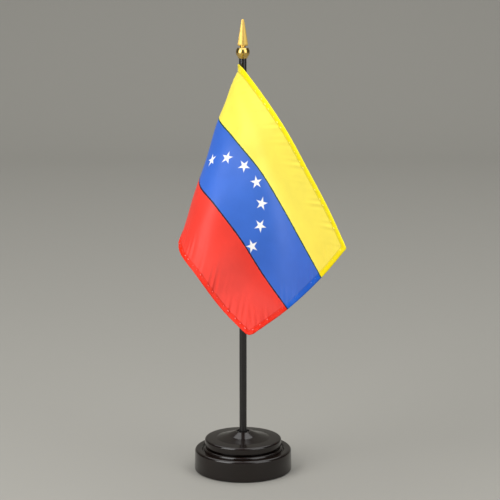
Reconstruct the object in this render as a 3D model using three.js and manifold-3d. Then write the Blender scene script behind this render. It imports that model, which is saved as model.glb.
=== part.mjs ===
// Desk flag stand: a 4 x 6 inch printed cloth flag on a slim black staff with a gilt spear finial,
// standing in a two-tier round moulded base. Millimetres, +Z up, origin at the centre of the
// base's underside. The staff is the Z axis. The flag hangs forward (-Y) from the staff, and its
// lower hoist corner folds back on the left (-X).
import * as THREE from "three";
import { mergeVertices } from "three/addons/utils/BufferGeometryUtils.js";
import Module from "manifold-3d";

const wasm = await Module();
wasm.setup();

// ---- driving dimensions, mm ----
const INCH = 25.4;
const GAP = 0.3; // air left between pieces that touch
const TURN_SEGMENTS = 48; // facets round the large turned shapes
const ROD_SEGMENTS = 20; // facets round the staff and what is turned on it

const STAFF_R = ((3 / 16) * INCH) / 2;
const STAFF_FOOT_Z = 5.5;
const STAFF_TIP_Z = 270.2; // end of the staff, inside the finial's ball

const DRUM_FOOT_R = 31.6;
const DRUM_SHOULDER_R = 31.3; // moulding draft: narrower at the top than at the foot
const DRUM_CHAMFER = 0.5;
const DRUM_ROUND = 1.8; // radius of the edge between the drum's side and its top
const DRUM_TOP_Z = 14.0;
const DRUM_LIP_Z = 0.4; // the rim stays this far off the table, so that the pad carries the stand
const DRUM_WALL = 3.0;
const DRUM_CEILING_Z = 11.5; // underside of the drum's roof
const GROOVE_R = 26.3; // groove between the drum's flat top and the bead
const GROOVE_Z = 13.0;
const BEAD_MID_R = 24.1; // rounded bead under the upper disc
const BEAD_MID_Z = 13.4;
const BEAD_R = 1.5;

const DISC_R = 24.9;
const DISC_NECK_R = 22.8; // step that the disc sits on, in from the bead
const DISC_NECK_Z = BEAD_MID_Z + BEAD_R + GAP;
const DISC_FOOT_Z = 16.2;
const DISC_ROUND = 1.6;
const DISC_RIM_Z = 20.8;
const BOSS_R = 16.9; // foot of the shallow cone in the disc's middle
const BOSS_FOOT_Z = 21.0;
const BOSS_FILLET = 0.9;
const BOSS_TOP_R = 4.9;
const BOSS_TOP_Z = 25.3;
const SPIGOT_R = 7.0; // post under the disc that drops through the drum's roof
const SPIGOT_FOOT_Z = 4.1;
const SOCKET_R = 3.9; // blind hole down the boss
const SOCKET_FLOOR_Z = 5.2;

const BUSH_TOP_Z = BOSS_TOP_Z - 2 * GAP;

const BALLAST_R = 28.1;
const BALLAST_FOOT_Z = 4.1;
const BALLAST_TOP_Z = 11.2;
const COVER_R = 28.3;
const COVER_FOOT_Z = 1.8;
const COVER_TOP_Z = 3.8;
const PAD_R = 28.0;
const PAD_TOP_Z = 1.5;

const BALL_R = 4.35;
const BALL_MID_Z = 270.8;
const BALL_FOOT_Z = 267.0;
const BALL_FOOT_R = 2.95;
const BALL_TOP_Z = 273.5;
const BALL_HOLE_FLOOR_Z = 271.3; // hole in the top of the ball for the spear's peg
const PEG_R = 1.1;
const NECK_R = 2.1; // slim neck between the ball and the blade
const NECK_FOOT_Z = BALL_TOP_Z + GAP;
const SPEAR_EDGE = 0.3; // half width of the flat ground along each edge of the blade
// height, half width and half thickness of the blade from its foot to its tip
const BLADE = [
  [274.7, 2.9, 1.7],
  [275.5, 3.25, 1.8],
  [279.6, 2.6, 1.5],
  [285.5, 1.7, 1.05],
  [290.5, 0.85, 0.6],
  [291.3, 0.5, 0.4],
];

const FLAG_LENGTH = 6 * INCH;
const FLAG_HEIGHT = 4 * INCH;
const CLOTH = 0.8; // thickness of the plain slab that stands for the cloth
const HOIST_TOP_Z = 263.6;
const HOIST_FOOT_Z = HOIST_TOP_Z - FLAG_HEIGHT;
const HOIST_X = -2.6; // the cloth leaves its sleeve at the front left of the staff
const HOIST_Y = -3.6;
const SLEEVE_WALL = 0.7;
const SLEEVE_DROP = 51; // slope in degrees of the sleeve's top edge, pulled down on the right
const SEAM_THICKNESS = 0.9;
const SEAM_SHORT = 0.7; // the sleeve's seam ends this far short of the line where the cloth turns

// Rest shape of the cloth. One row for each stripe edge, from the top hem to the bottom hem, and in
// each row the points that the cloth passes at every further inch of its length, out to the fly.
const DRAPE = [
  [[2, -30, 261], [15, -49, 245], [27, -67, 228], [39, -81, 207], [50, -93, 187], [60, -107, 166]],
  [[-15, -24, 231], [-6, -44, 221], [9, -54, 204], [22, -64, 184], [34, -75, 164], [46, -86, 144]],
  [[-22, -18, 198], [-27, -41, 192], [-18, -61, 183], [-3, -67, 164], [11, -68, 142], [26, -74, 122]],
  [[-26, -12, 164], [-37, -34, 161], [-38, -58, 155], [-28, -78, 145], [-13, -84, 126], [4, -95, 111]],
];
const CLOTH_STEPS_LONG = 36;
const CLOTH_STEPS_HIGH = 18;

const STITCH_IN = 2.3; // the hem's stitch line runs this far in from the cloth's edge
const THREAD_WIDTH = 0.5;
const THREAD_THICKNESS = 0.25;
const THREAD_STEPS = 36;

const finish = {
  base: { color: 0x2c2421, roughness: 0.22, metalness: 0 },
  lacquer: { color: 0x1a1918, roughness: 0.25, metalness: 0 },
  gilt: { color: 0xd9b56a, roughness: 0.15, metalness: 1 },
  satinGilt: { color: 0xb8935a, roughness: 0.4, metalness: 1 },
  steel: { color: 0x85888b, roughness: 0.45, metalness: 1 },
  board: { color: 0x4a4038, roughness: 0.8, metalness: 0 },
  felt: { color: 0x1f1f1f, roughness: 1, metalness: 0 },
  vinyl: { color: 0x24211f, roughness: 0.6, metalness: 0 },
  cloth: { color: 0x4a73cc, roughness: 0.6, metalness: 0 },
  hoistCloth: { color: 0xf2dd4c, roughness: 0.6, metalness: 0 },
  thread: { color: 0xf6e650, roughness: 0.7, metalness: 0 },
};

const stand = new THREE.Group();
stand.name = "desk_flag_stand";

// ---- shape helpers ----
function addMesh(name, geometry, look) {
  const mesh = new THREE.Mesh(geometry, new THREE.MeshStandardMaterial(look));
  mesh.name = name;
  stand.add(mesh);
}

// Points of an arc in the profile plane, from angle a0 to a1 in degrees.
function arc(r, z, radius, a0, a1, steps) {
  const points = [];
  for (let i = 0; i <= steps; i++) {
    const a = THREE.MathUtils.degToRad(a0 + ((a1 - a0) * i) / steps);
    points.push([r + radius * Math.cos(a), z + radius * Math.sin(a)]);
  }
  return points;
}

// Solid of revolution about Z. The profile runs upward on its outside.
function turned(profile, segments = TURN_SEGMENTS) {
  const points = profile.map(([r, z]) => new THREE.Vector2(r, z));
  return new THREE.LatheGeometry(points, segments).rotateX(Math.PI / 2);
}

// Flat ring or tube between two heights; a hole radius of 0 makes a plain disc or rod.
function ring(radius, hole, foot, top, segments) {
  const profile = [[hole, foot], [radius, foot], [radius, top], [hole, top]];
  if (hole > 0) profile.push(profile[0]);
  return turned(profile, segments);
}

function geometryOf(vertices, triangles) {
  const geometry = new THREE.BufferGeometry();
  geometry.setAttribute("position", new THREE.Float32BufferAttribute(vertices, 3));
  geometry.setIndex(triangles);
  return geometry;
}

// Skin over a row of closed, convex rings of points, with a flat cap at each end.
function loft(rings) {
  const count = rings[0].length;
  const vertices = rings.flat().flatMap((p) => [p.x, p.y, p.z]);
  const triangles = [];
  for (let i = 0; i + 1 < rings.length; i++) {
    for (let j = 0; j < count; j++) {
      const a = i * count + j;
      const b = i * count + ((j + 1) % count);
      triangles.push(a, b, b + count, a, b + count, a + count);
    }
  }
  const last = (rings.length - 1) * count;
  for (let j = 1; j + 1 < count; j++) {
    triangles.push(0, j + 1, j);
    triangles.push(last, last + j, last + j + 1);
  }
  return geometryOf(vertices, triangles);
}

function solidOf(geometry) {
  const bare = geometry.clone();
  bare.deleteAttribute("normal");
  bare.deleteAttribute("uv");
  const merged = mergeVertices(bare, 1e-4);
  return new wasm.Manifold(
    new wasm.Mesh({
      numProp: 3,
      vertProperties: merged.attributes.position.array,
      triVerts: new Uint32Array(merged.index.array),
    }),
  );
}

function geometryFrom(solid) {
  const mesh = solid.getMesh();
  return geometryOf(Array.from(mesh.vertProperties), Array.from(mesh.triVerts));
}

// ---- base ----
function baseDrum() {
  const shoulder = DRUM_SHOULDER_R - DRUM_ROUND;
  const cavity = DRUM_FOOT_R - DRUM_WALL;
  const hole = SPIGOT_R + GAP;
  const profile = [
    [cavity, DRUM_LIP_Z],
    [DRUM_FOOT_R - DRUM_CHAMFER, DRUM_LIP_Z],
    [DRUM_FOOT_R, DRUM_LIP_Z + DRUM_CHAMFER],
    ...arc(shoulder, DRUM_TOP_Z - DRUM_ROUND, DRUM_ROUND, 0, 90, 5),
    [GROOVE_R + 0.5, DRUM_TOP_Z],
    [GROOVE_R, GROOVE_Z],
    ...arc(BEAD_MID_R, BEAD_MID_Z, BEAD_R, -15, 90, 6),
    [hole, BEAD_MID_Z + BEAD_R],
    [hole, DRUM_CEILING_Z],
    [cavity, DRUM_CEILING_Z],
  ];
  return turned([...profile, profile[0]]);
}

function topDisc() {
  return turned([
    [0, SPIGOT_FOOT_Z],
    [SPIGOT_R, SPIGOT_FOOT_Z],
    [SPIGOT_R, DISC_NECK_Z],
    [DISC_NECK_R, DISC_NECK_Z],
    [DISC_NECK_R, DISC_FOOT_Z],
    [DISC_R - 0.4, DISC_FOOT_Z],
    [DISC_R, DISC_FOOT_Z + 0.4],
    ...arc(DISC_R - DISC_ROUND, DISC_RIM_Z - DISC_ROUND, DISC_ROUND, 0, 75, 4),
    [BOSS_R + BOSS_FILLET, BOSS_FOOT_Z],
    [BOSS_R - BOSS_FILLET, BOSS_FOOT_Z + BOSS_FILLET / 3],
    [BOSS_TOP_R, BOSS_TOP_Z - 0.2],
    [BOSS_TOP_R - 0.5, BOSS_TOP_Z],
    [SOCKET_R, BOSS_TOP_Z],
    [SOCKET_R, SOCKET_FLOOR_Z],
    [0, SOCKET_FLOOR_Z],
  ]);
}

// ---- finial ----
function finialBall() {
  const socket = STAFF_R + GAP;
  const below = -THREE.MathUtils.radToDeg(Math.acos(BALL_FOOT_R / BALL_R));
  const above = THREE.MathUtils.radToDeg(Math.asin((BALL_TOP_Z - BALL_MID_Z) / BALL_R));
  return turned(
    [
      [0, STAFF_TIP_Z + GAP],
      [socket, STAFF_TIP_Z + GAP],
      [socket, BALL_FOOT_Z],
      [BALL_FOOT_R, BALL_FOOT_Z],
      ...arc(0, BALL_MID_Z, BALL_R, below, above, 8),
      [PEG_R + GAP, BALL_TOP_Z],
      [PEG_R + GAP, BALL_HOLE_FLOOR_Z],
      [0, BALL_HOLE_FLOOR_Z],
    ],
    ROD_SEGMENTS + 8,
  );
}

// One level of the blade: a flattened diamond whose two sharp corners are ground flat.
function bladeRing([z, halfWidth, halfThickness]) {
  const edge = Math.min(SPEAR_EDGE, halfThickness / 2);
  return [
    new THREE.Vector3(halfWidth, -edge, z),
    new THREE.Vector3(halfWidth, edge, z),
    new THREE.Vector3(0, halfThickness, z),
    new THREE.Vector3(-halfWidth, edge, z),
    new THREE.Vector3(-halfWidth, -edge, z),
    new THREE.Vector3(0, -halfThickness, z),
  ];
}

function finialSpear() {
  const bladeFoot = BLADE[0][0];
  const foot = turned(
    [
      [0, BALL_HOLE_FLOOR_Z + GAP],
      [PEG_R, BALL_HOLE_FLOOR_Z + GAP],
      [PEG_R, NECK_FOOT_Z],
      [NECK_R, NECK_FOOT_Z],
      [NECK_R, bladeFoot + GAP],
      [0, bladeFoot + GAP],
    ],
    ROD_SEGMENTS,
  );
  return geometryFrom(solidOf(foot).add(solidOf(loft(BLADE.map(bladeRing)))));
}

// ---- flag ----
// Value at t on a smooth curve through evenly spaced points. It runs straight out at both ends.
function smooth(points, t) {
  const last = points.length - 1;
  const i = Math.min(Math.floor(t), last - 1);
  const w = t - i;
  const at = (k) => {
    if (k < 0) return points[0].clone().multiplyScalar(2).sub(points[1]);
    if (k > last) return points[last].clone().multiplyScalar(2).sub(points[last - 1]);
    return points[k];
  };
  return new THREE.Vector3()
    .addScaledVector(at(i - 1), (-w + 2 * w * w - w * w * w) / 2)
    .addScaledVector(at(i), 1 - (5 * w * w - 3 * w * w * w) / 2)
    .addScaledVector(at(i + 1), (w + 4 * w * w - 3 * w * w * w) / 2)
    .addScaledVector(at(i + 2), (w * w * w - w * w) / 2);
}

const drapeRows = DRAPE.map((row, i) => {
  const hoist = [HOIST_X, HOIST_Y, HOIST_TOP_Z - (FLAG_HEIGHT * i) / (DRAPE.length - 1)];
  return [hoist, ...row].map((p) => new THREE.Vector3(...p));
});

// Point of the hanging cloth that lies `along` from the hoist and `down` from the top hem.
function clothPoint(along, down) {
  const across = drapeRows.map((row) => smooth(row, along / INCH));
  return smooth(across, (down / FLAG_HEIGHT) * (DRAPE.length - 1));
}

// Unit normal of the cloth on the face that shows in front.
function clothNormal(along, down) {
  const step = 0.5;
  const u0 = Math.max(along - step, 0);
  const u1 = Math.min(along + step, FLAG_LENGTH);
  const v0 = Math.max(down - step, 0);
  const v1 = Math.min(down + step, FLAG_HEIGHT);
  const length = clothPoint(u1, down).sub(clothPoint(u0, down));
  const height = clothPoint(along, v1).sub(clothPoint(along, v0));
  return height.cross(length).normalize();
}

function flagPanel() {
  const rows = CLOTH_STEPS_LONG + 1;
  const columns = CLOTH_STEPS_HIGH + 1;
  const vertices = [];
  for (const side of [CLOTH / 2, -CLOTH / 2]) {
    for (let i = 0; i < rows; i++) {
      for (let j = 0; j < columns; j++) {
        const along = (FLAG_LENGTH * i) / CLOTH_STEPS_LONG;
        const down = (FLAG_HEIGHT * j) / CLOTH_STEPS_HIGH;
        const p = clothPoint(along, down).addScaledVector(clothNormal(along, down), side);
        vertices.push(p.x, p.y, p.z);
      }
    }
  }
  const triangles = [];
  const quad = (a, b, c, d) => triangles.push(a, b, c, a, c, d);
  const back = rows * columns;
  const at = (i, j) => i * columns + j;
  for (let i = 0; i < CLOTH_STEPS_LONG; i++) {
    for (let j = 0; j < CLOTH_STEPS_HIGH; j++) {
      quad(at(i, j), at(i, j + 1), at(i + 1, j + 1), at(i + 1, j));
      quad(back + at(i, j), back + at(i + 1, j), back + at(i + 1, j + 1), back + at(i, j + 1));
    }
    const foot = CLOTH_STEPS_HIGH;
    quad(at(i, 0), at(i + 1, 0), back + at(i + 1, 0), back + at(i, 0));
    quad(at(i + 1, foot), at(i, foot), back + at(i, foot), back + at(i + 1, foot));
  }
  for (let j = 0; j < CLOTH_STEPS_HIGH; j++) {
    const fly = CLOTH_STEPS_LONG;
    quad(at(0, j + 1), at(0, j), back + at(0, j), back + at(0, j + 1));
    quad(at(fly, j), at(fly, j + 1), back + at(fly, j + 1), back + at(fly, j));
  }
  return geometryOf(vertices, triangles);
}

// A run of sewing thread on the front face of the cloth, between two places on the flat flag.
function hemThread([along0, down0], [along1, down1]) {
  const lift = CLOTH / 2 + GAP + THREAD_THICKNESS / 2;
  const rings = [];
  for (let i = 0; i <= THREAD_STEPS; i++) {
    const t = i / THREAD_STEPS;
    const along = THREE.MathUtils.lerp(along0, along1, t);
    const down = THREE.MathUtils.lerp(down0, down1, t);
    const ahead = clothPoint(along + (along1 - along0) * 1e-3, down + (down1 - down0) * 1e-3);
    const here = clothPoint(along, down);
    const up = clothNormal(along, down);
    const side = new THREE.Vector3().crossVectors(up, ahead.sub(here)).normalize();
    here.addScaledVector(up, lift);
    const corner = (s, n) =>
      here
        .clone()
        .addScaledVector(side, (s * THREAD_WIDTH) / 2)
        .addScaledVector(up, (n * THREAD_THICKNESS) / 2);
    rings.push([corner(1, -1), corner(1, 1), corner(-1, 1), corner(-1, -1)]);
  }
  return loft(rings);
}

// The pocket that the hoist edge makes round the staff, with the start of the seam that closes it.
function flagSleeve() {
  const bore = STAFF_R + GAP;
  const outer = bore + SLEEVE_WALL;
  const middle = (HOIST_FOOT_Z + HOIST_TOP_Z) / 2;
  const tube = ring(outer, bore, HOIST_FOOT_Z, HOIST_TOP_Z, ROD_SEGMENTS);
  const inner = bore + SLEEVE_WALL / 2;
  const reach = Math.hypot(HOIST_X, HOIST_Y) - SEAM_SHORT;
  const seam = new THREE.BoxGeometry(reach - inner, SEAM_THICKNESS, FLAG_HEIGHT);
  seam.translate((reach + inner) / 2, 0, middle).rotateZ(Math.atan2(HOIST_Y, HOIST_X));
  const size = 6 * outer;
  const above = new THREE.BoxGeometry(size, size, size).translate(size / 2, 0, size / 2);
  above.rotateY(THREE.MathUtils.degToRad(SLEEVE_DROP)).translate(-outer, 0, HOIST_TOP_Z);
  return geometryFrom(solidOf(tube).add(solidOf(seam)).subtract(solidOf(above)));
}

addMesh("base_drum", baseDrum(), finish.base);
addMesh("top_disc", topDisc(), finish.base);
addMesh("ballast_ring", ring(BALLAST_R, SPIGOT_R + 1, BALLAST_FOOT_Z, BALLAST_TOP_Z), finish.steel);
addMesh("base_cover", ring(COVER_R, 0, COVER_FOOT_Z, COVER_TOP_Z), finish.board);
addMesh("felt_pad", ring(PAD_R, 0, 0, PAD_TOP_Z), finish.felt);
addMesh(
  "staff_bush",
  ring(SOCKET_R - GAP, STAFF_R + GAP, SOCKET_FLOOR_Z + GAP, BUSH_TOP_Z, ROD_SEGMENTS),
  finish.vinyl,
);
addMesh("staff", ring(STAFF_R, 0, STAFF_FOOT_Z, STAFF_TIP_Z, ROD_SEGMENTS), finish.lacquer);
addMesh("finial_ball", finialBall(), finish.gilt);
addMesh("finial_spear", finialSpear(), finish.satinGilt);
addMesh("flag_sleeve", flagSleeve(), finish.hoistCloth);
addMesh("flag_panel", flagPanel(), finish.cloth);
const top = STITCH_IN;
const foot = FLAG_HEIGHT - STITCH_IN;
const hoist = STITCH_IN;
const fly = FLAG_LENGTH - STITCH_IN;
addMesh("thread_sleeve", hemThread([hoist, top], [hoist, foot]), finish.thread);
addMesh("thread_top_hem", hemThread([hoist + 1, top], [fly - 1, top]), finish.thread);
addMesh("thread_fly_hem", hemThread([fly, top], [fly, foot]), finish.thread);
addMesh("thread_bottom_hem", hemThread([hoist + 1, foot], [fly - 1, foot]), finish.thread);

export default stand;
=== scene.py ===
# Desk flag stand: a small printed cloth flag hanging from a black staff with a gilt spear finial,
# in a two-tier moulded base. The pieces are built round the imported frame, which is in metres.
# Dimensions written in this file are in millimetres, and add_piece turns them to metres.
import math

import bmesh
import bpy
import numpy as np
from bpy.props import FloatProperty, FloatVectorProperty, IntProperty, PointerProperty
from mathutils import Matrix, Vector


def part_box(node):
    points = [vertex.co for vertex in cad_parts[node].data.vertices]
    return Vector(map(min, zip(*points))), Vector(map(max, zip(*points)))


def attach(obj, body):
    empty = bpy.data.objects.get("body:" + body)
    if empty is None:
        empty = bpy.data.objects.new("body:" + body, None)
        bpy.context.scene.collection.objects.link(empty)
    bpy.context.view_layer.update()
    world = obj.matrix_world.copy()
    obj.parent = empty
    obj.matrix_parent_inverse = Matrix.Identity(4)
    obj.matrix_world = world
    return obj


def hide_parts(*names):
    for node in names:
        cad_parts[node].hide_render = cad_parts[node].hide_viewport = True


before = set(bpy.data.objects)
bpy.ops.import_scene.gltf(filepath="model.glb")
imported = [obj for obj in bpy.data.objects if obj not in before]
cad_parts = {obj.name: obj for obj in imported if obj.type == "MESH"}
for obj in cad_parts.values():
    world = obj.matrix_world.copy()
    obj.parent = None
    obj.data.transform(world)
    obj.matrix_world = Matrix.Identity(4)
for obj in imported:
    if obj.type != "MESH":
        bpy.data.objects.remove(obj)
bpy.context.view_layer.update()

bl_info = {
    "name": "Desk Flag Stand",
    "version": (1, 0, 0),
    "blender": (4, 5, 0),
    "location": "3D View > Sidebar > Flag Stand",
    "description": "Builds a desk flag with its staff, finial and two-tier base, piece by piece",
    "category": "Add Mesh",
}

MM = 0.001
INCH = 25.4
GAP = 0.3


def frame_mm(node):
    """Lowest and highest corner of a frame node, in millimetres."""
    low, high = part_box(node)
    return np.array(low) / MM, np.array(high) / MM


def frame_radius(node):
    """Radius in millimetres of a round frame node that stands on the staff's axis."""
    return frame_mm(node)[1][0]


def linear(hex_colour):
    """Linear RGBA of an sRGB colour written as #rrggbb."""
    channels = [int(hex_colour[i : i + 2], 16) / 255 for i in (1, 3, 5)]
    return [c / 12.92 if c <= 0.04045 else ((c + 0.055) / 1.055) ** 2.4 for c in channels] + [1]


# ---------------------------------------------------------------- sizes and colours


def length_prop(name, description, default_mm):
    """A length that the sidebar shows in scene units."""
    return FloatProperty(
        name=name, description=description, default=default_mm * MM, min=0, unit="LENGTH", precision=5
    )


def colour_prop(name, description, default):
    """A colour swatch whose default is an sRGB hex colour."""
    return FloatVectorProperty(
        name=name,
        description=description,
        default=linear(default)[:3],
        size=3,
        subtype="COLOR",
        min=0,
        max=1,
    )


class StandSizes(bpy.types.PropertyGroup):
    """Sizes of the small features that give the cloth its look."""

    cloth_thickness: length_prop("Cloth thickness", "Thickness of the plain printed cloth", 0.3)
    hem_thickness: length_prop("Hem thickness", "Thickness of the folded and sewn hem", 0.75)
    hem_width: length_prop("Hem width", "Width of the folded hem", 3.1)
    stitch_inset: length_prop("Stitch inset", "Distance of the stitch line from the edge", 2.3)
    stitch_pitch: length_prop("Stitch pitch", "Length of one stitch with its gap", 2.1)
    pucker_height: length_prop("Pucker height", "Height of the gathers along a hem", 0.5)
    pucker_spacing: length_prop("Pucker spacing", "Distance between gathers along a hem", 5.2)
    pucker_reach: length_prop("Pucker reach", "How far a gather runs into the cloth", 9.0)
    crease_height: length_prop("Crease height", "Height of the soft creases over the cloth", 0.35)
    seed: IntProperty(name="Seed", description="Seed of the gathers and creases", default=7, min=0)


class StandFinish(bpy.types.PropertyGroup):
    """Colours of the pieces."""

    base: colour_prop("Base", "Moulded plastic of the base", "#120b08")
    staff: colour_prop("Staff", "Lacquer of the staff", "#161413")
    gilt: colour_prop("Gilt", "Plating of the finial", "#e2bf68")
    stripe_top: colour_prop("Top stripe", "Printed ink of the top stripe", "#f5e34c")
    stripe_middle: colour_prop("Middle stripe", "Printed ink of the middle stripe", "#2f63c4")
    stripe_bottom: colour_prop("Bottom stripe", "Printed ink of the bottom stripe", "#e4301f")
    star: colour_prop("Stars", "Bare white cloth of the stars", "#f4f4f2")


# ---------------------------------------------------------------- drape of the cloth

FLAG_LENGTH = 6 * INCH
FLAG_HEIGHT = 4 * INCH
STAFF_R = frame_radius("staff")
SLEEVE_LOW = frame_mm("flag_sleeve")[0]
HOIST_FOOT_Z = SLEEVE_LOW[2]
HOIST_TOP_Z = HOIST_FOOT_Z + FLAG_HEIGHT
HOIST_X = -2.6  # the cloth leaves its sleeve at the front left of the staff
HOIST_Y = -3.6
BELLY = 2.2
TOP_CORNER = 1.2  # radius of the flag's turned-in fly corners
FOOT_CORNER = 4.0
PRINT_UV = "flat_cloth"

# One row at each third of the flag's height, from the top hem to the bottom hem, and in each row
# a point for every further inch of the flat cloth, out to the fly. The points are the rounded
# result of a fitting program, not chosen by hand, and the cloth is stretched in places.
DRAPE = [
    [(2, -30, 261), (15, -49, 245), (27, -67, 228), (39, -81, 207), (50, -93, 187), (60, -107, 166)],
    [(-15, -24, 231), (-6, -44, 221), (9, -54, 204), (22, -64, 184), (34, -75, 164), (46, -86, 144)],
    [(-22, -18, 198), (-27, -41, 192), (-18, -61, 183), (-3, -67, 164), (11, -68, 142), (26, -74, 122)],
    [(-26, -12, 164), (-37, -34, 161), (-38, -58, 155), (-28, -78, 145), (-13, -84, 126), (4, -95, 111)],
]


def drape_guides():
    """The guide points as an array: row, inch from the hoist, XYZ."""
    rows = []
    for i, row in enumerate(DRAPE):
        hoist_z = HOIST_TOP_Z - FLAG_HEIGHT * i / (len(DRAPE) - 1)
        rows.append([(HOIST_X, HOIST_Y, hoist_z), *row])
    return np.array(rows, float)


def smooth_weights(count, t):
    """Weights of evenly spaced guide points on the smooth curve through them, at places t."""
    start = np.clip(t.astype(int), 0, count - 2)
    w = t - start
    shares = (
        (-w + 2 * w**2 - w**3) / 2,
        1 - (5 * w**2 - 3 * w**3) / 2,
        (w + 4 * w**2 - 3 * w**3) / 2,
        (w**3 - w**2) / 2,
    )
    weights = np.zeros((len(t), count + 2))
    for offset, share in enumerate(shares):
        weights[np.arange(len(t)), start + offset] += share
    # The first and last columns stand for points that carry the curve straight on.
    inner = weights[:, 1:-1]
    inner[:, 0] += 2 * weights[:, 0]
    inner[:, 1] -= weights[:, 0]
    inner[:, -1] += 2 * weights[:, -1]
    inner[:, -2] -= weights[:, -1]
    return inner


def ripple(place, wavelength, rng):
    """An uneven wave of height about 1: three waves of near lengths added up."""
    total = 0
    for factor, share in ((1.0, 0.6), (0.73, 0.35), (1.61, 0.3)):
        phase = rng.uniform(0, 2 * math.pi)
        total = total + share * np.sin(2 * math.pi * place / (wavelength * factor) + phase)
    return total


class Drape:
    """The hanging cloth as a function of places on the flat flag."""

    def __init__(self, sizes):
        self.guides = drape_guides()
        self.sizes = sizes

    def middle(self, along, down):
        """Points of the smooth drape, one for each pair of places."""
        rows, columns = self.guides.shape[:2]
        across = smooth_weights(rows, down / FLAG_HEIGHT * (rows - 1))
        length = smooth_weights(columns, along / FLAG_LENGTH * (columns - 1))
        points = np.einsum("pv,pu,vuk->pk", across, length, self.guides)
        # Just under its upper corner the cloth bellies out to the left before it turns.
        near = np.exp(-(((along - 15) / 10) ** 2) - ((down - 11) / 12) ** 2)
        points[:, 0] -= BELLY * near * np.clip(along / 6, 0, 1) * np.clip(down / 5, 0, 1)
        return points

    def normal(self, along, down):
        """Unit normals on the face that shows in front."""
        step = 0.2
        length = self.middle(along + step, down) - self.middle(along - step, down)
        height = self.middle(along, down + step) - self.middle(along, down - step)
        normal = np.cross(height, length)
        return normal / np.linalg.norm(normal, axis=1, keepdims=True)

    def relief(self, along, down):
        """Height of the seam gathers and soft creases over the smooth drape."""
        s = self.sizes
        rng = np.random.default_rng(s.seed)
        inset, reach = s.stitch_inset / MM, s.pucker_reach / MM
        seams = (
            (down - inset, along, 0.75),
            (FLAG_HEIGHT - inset - down, along, 1.25),
            (FLAG_LENGTH - inset - along, down, 0.45),
        )
        total = np.zeros_like(along)
        for distance, place, strength in seams:
            # A gather is deepest just inside the stitches. The folded hem itself is stiffer.
            fade = np.where(
                distance > 0, np.exp(-((distance / reach) ** 2)), 0.35 + 0.65 * np.exp(-(distance**2))
            )
            wave = ripple(place + 0.8 * distance, s.pucker_spacing / MM, rng)
            wave = np.sign(wave) * np.abs(wave) ** 1.4
            pinch = 0.55 + 0.45 * ripple(place, 23, rng)
            total += s.pucker_height / MM * strength * fade * wave * pinch
        # Soft creases fan out from the upper hoist corner, which carries the cloth.
        fan = np.degrees(np.arctan2(down + 4, along + 4))
        far = np.clip((np.hypot(along, down) - 15) / 60, 0, 1)
        total += s.crease_height / MM * far * ripple(fan, 17, rng)
        # The stitches draw the cloth down along their line.
        rim = np.minimum(np.minimum(down, FLAG_HEIGHT - down), FLAG_LENGTH - along)
        total -= 0.14 * np.exp(-(((rim - inset) / 0.45) ** 2))
        return total * np.clip(along / 6, 0, 1)

    def point(self, along, down, lift=0.0):
        """Points on the cloth, lifted towards the front by lift."""
        height = self.relief(along, down) + lift
        return self.middle(along, down) + self.normal(along, down) * height[:, None]


# ---------------------------------------------------------------- mesh helpers


def add_piece(name, vertices, faces, material, flat=None, sharp=40):
    """A mesh object from points in millimetres. It is smooth except at edges over `sharp` degrees.
    flat gives each point's place on the flat cloth."""
    mesh = bpy.data.meshes.new(name)
    mesh.from_pydata((np.asarray(vertices, float) * MM).tolist(), [], faces)
    if flat is not None:
        corners = np.empty(len(mesh.loops), np.int32)
        mesh.loops.foreach_get("vertex_index", corners)
        layer = mesh.uv_layers.new(name=PRINT_UV)
        places = np.asarray(flat, np.float32) / (FLAG_LENGTH, FLAG_HEIGHT)
        layer.data.foreach_set("uv", places.astype(np.float32)[corners].ravel())
    build = bmesh.new()
    build.from_mesh(mesh)
    bmesh.ops.recalc_face_normals(build, faces=build.faces)
    build.to_mesh(mesh)
    build.free()
    mesh.shade_smooth()
    mesh.set_sharp_from_angle(angle=math.radians(sharp))
    mesh.materials.append(material)
    piece = bpy.data.objects.new(name, mesh)
    bpy.context.scene.collection.objects.link(piece)
    return piece


def fit(piece, body, slot, *nodes):
    """The piece rides on its body and stands for the frame's nodes. The slot is not used."""
    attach(piece, body)
    if nodes:
        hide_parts(*nodes)
    return piece


def filleted(corners, steps=6):
    """Profile points from (radius, height, fillet) corners of a closed profile."""
    points = []
    for i, (r, z, fillet) in enumerate(corners):
        here = np.array((r, z), float)
        if fillet == 0:
            points.append((r, z))
            continue
        back = np.array(corners[i - 1][:2]) - here
        ahead = np.array(corners[(i + 1) % len(corners)][:2]) - here
        back = back / np.linalg.norm(back)
        ahead = ahead / np.linalg.norm(ahead)
        half = math.acos(np.clip(back @ ahead, -1, 1)) / 2
        bisector = (back + ahead) / np.linalg.norm(back + ahead)
        middle = here + bisector * fillet / math.sin(half)
        first = back * fillet / math.tan(half) + here - middle
        last = ahead * fillet / math.tan(half) + here - middle
        for k in range(steps + 1):
            spoke = first + (last - first) * k / steps
            points.append(tuple(middle + spoke / np.linalg.norm(spoke) * fillet))
    return points


def arc(r, z, radius, start, stop, steps):
    """Profile points of an arc from angle start to stop, in degrees."""
    angles = np.radians(np.linspace(start, stop, steps + 1))
    return [(r + radius * math.cos(a), z + radius * math.sin(a), 0) for a in angles]


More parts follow.
